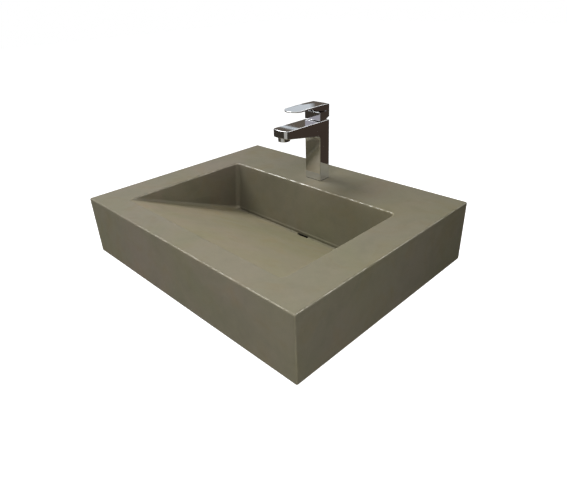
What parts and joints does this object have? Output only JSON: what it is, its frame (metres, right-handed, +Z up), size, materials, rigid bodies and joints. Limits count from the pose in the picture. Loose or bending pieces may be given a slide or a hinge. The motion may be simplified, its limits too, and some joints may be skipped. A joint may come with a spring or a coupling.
{
  "type": "wall-hung concrete ramp sink with mixer tap",
  "caption": "Wall-hung concrete wash basin with a ramp floor, a slot drain under its back wall and a chrome single-lever mixer tap on the deck.",
  "frame": {"origin": "centre of the four wall-bolt holes, on the wall plane", "axes": "+X right for someone standing in front, +Y into the wall, +Z up; the sink reaches out along -Y"},
  "size_m": [0.6096, 0.4826, 0.4483],
  "materials": {
    "concrete": "cast and sealed, satin",
    "chrome": "polished plating",
    "frame_paint": "fine matt powder coat",
    "black_plastic": "moulded, fine grain",
    "rubber": "matt",
    "steel": "stainless, bright",
    "brass": "machined",
    "cartridge_plastic": "moulded",
    "disc_ceramic": "lapped"
  },
  "bodies": {
    "root": {"aerator_housing": "chrome", "aerator_insert": "cartridge_plastic", "aerator_washer": "rubber", "arm_end_caps": "black_plastic", "arm_gussets": "frame_paint", "arm_left": "frame_paint", "arm_right": "frame_paint", "base_gasket": "rubber", "cartridge_base": "cartridge_plastic", "cartridge_nut": "brass", "cartridge_shell": "cartridge_plastic", "cast_inserts": "brass", "clamp_nut": "steel", "clamp_plate": "steel", "clamp_rubber": "rubber", "drain_body": "black_plastic", "drain_gasket": "rubber", "drain_inserts": "brass", "drain_screws": "steel", "fixed_disc": "disc_ceramic", "fixing_screws": "steel", "fixing_washers": "steel", "mounting_stud": "steel", "port_seals": "rubber", "sink_basin": "concrete", "slip_nut": "chrome", "slip_washer": "rubber", "support_pads": "rubber", "tailpiece": "chrome", "tap_body": "chrome", "wall_rail": "frame_paint"},
    "mixer_carrier": {"cartridge_guide": "cartridge_plastic", "guide_pin": "steel"},
    "disc_body": {"moving_disc": "disc_ceramic", "disc_carrier": "cartridge_plastic"},
    "lever": {"stem": "brass", "handle": "chrome", "handle_screw": "steel", "handle_plug": "chrome"}
  },
  "joints": [
    {"name": "handle_swivel", "type": "hinge", "parent": "root", "child": "mixer_carrier", "pos_m": [-0.01, -0.0816, 0.191], "axis": [0, 0, 1], "range_deg": [-45, 45]},
    {"name": "handle_tilt", "type": "hinge", "parent": "mixer_carrier", "child": "lever", "pos_m": [-0.01, -0.0816, 0.191], "axis": [-1, 0, 0], "range_deg": [0, 22]},
    {"name": "disc_slide", "type": "slide", "parent": "mixer_carrier", "child": "disc_body", "axis": [0, -1, 0], "range_m": [0, 0.005]}
  ],
  "couplings": [
    {"joint": "disc_slide", "follows": "handle_tilt", "m_per_rad": 0.0127}
  ]
}
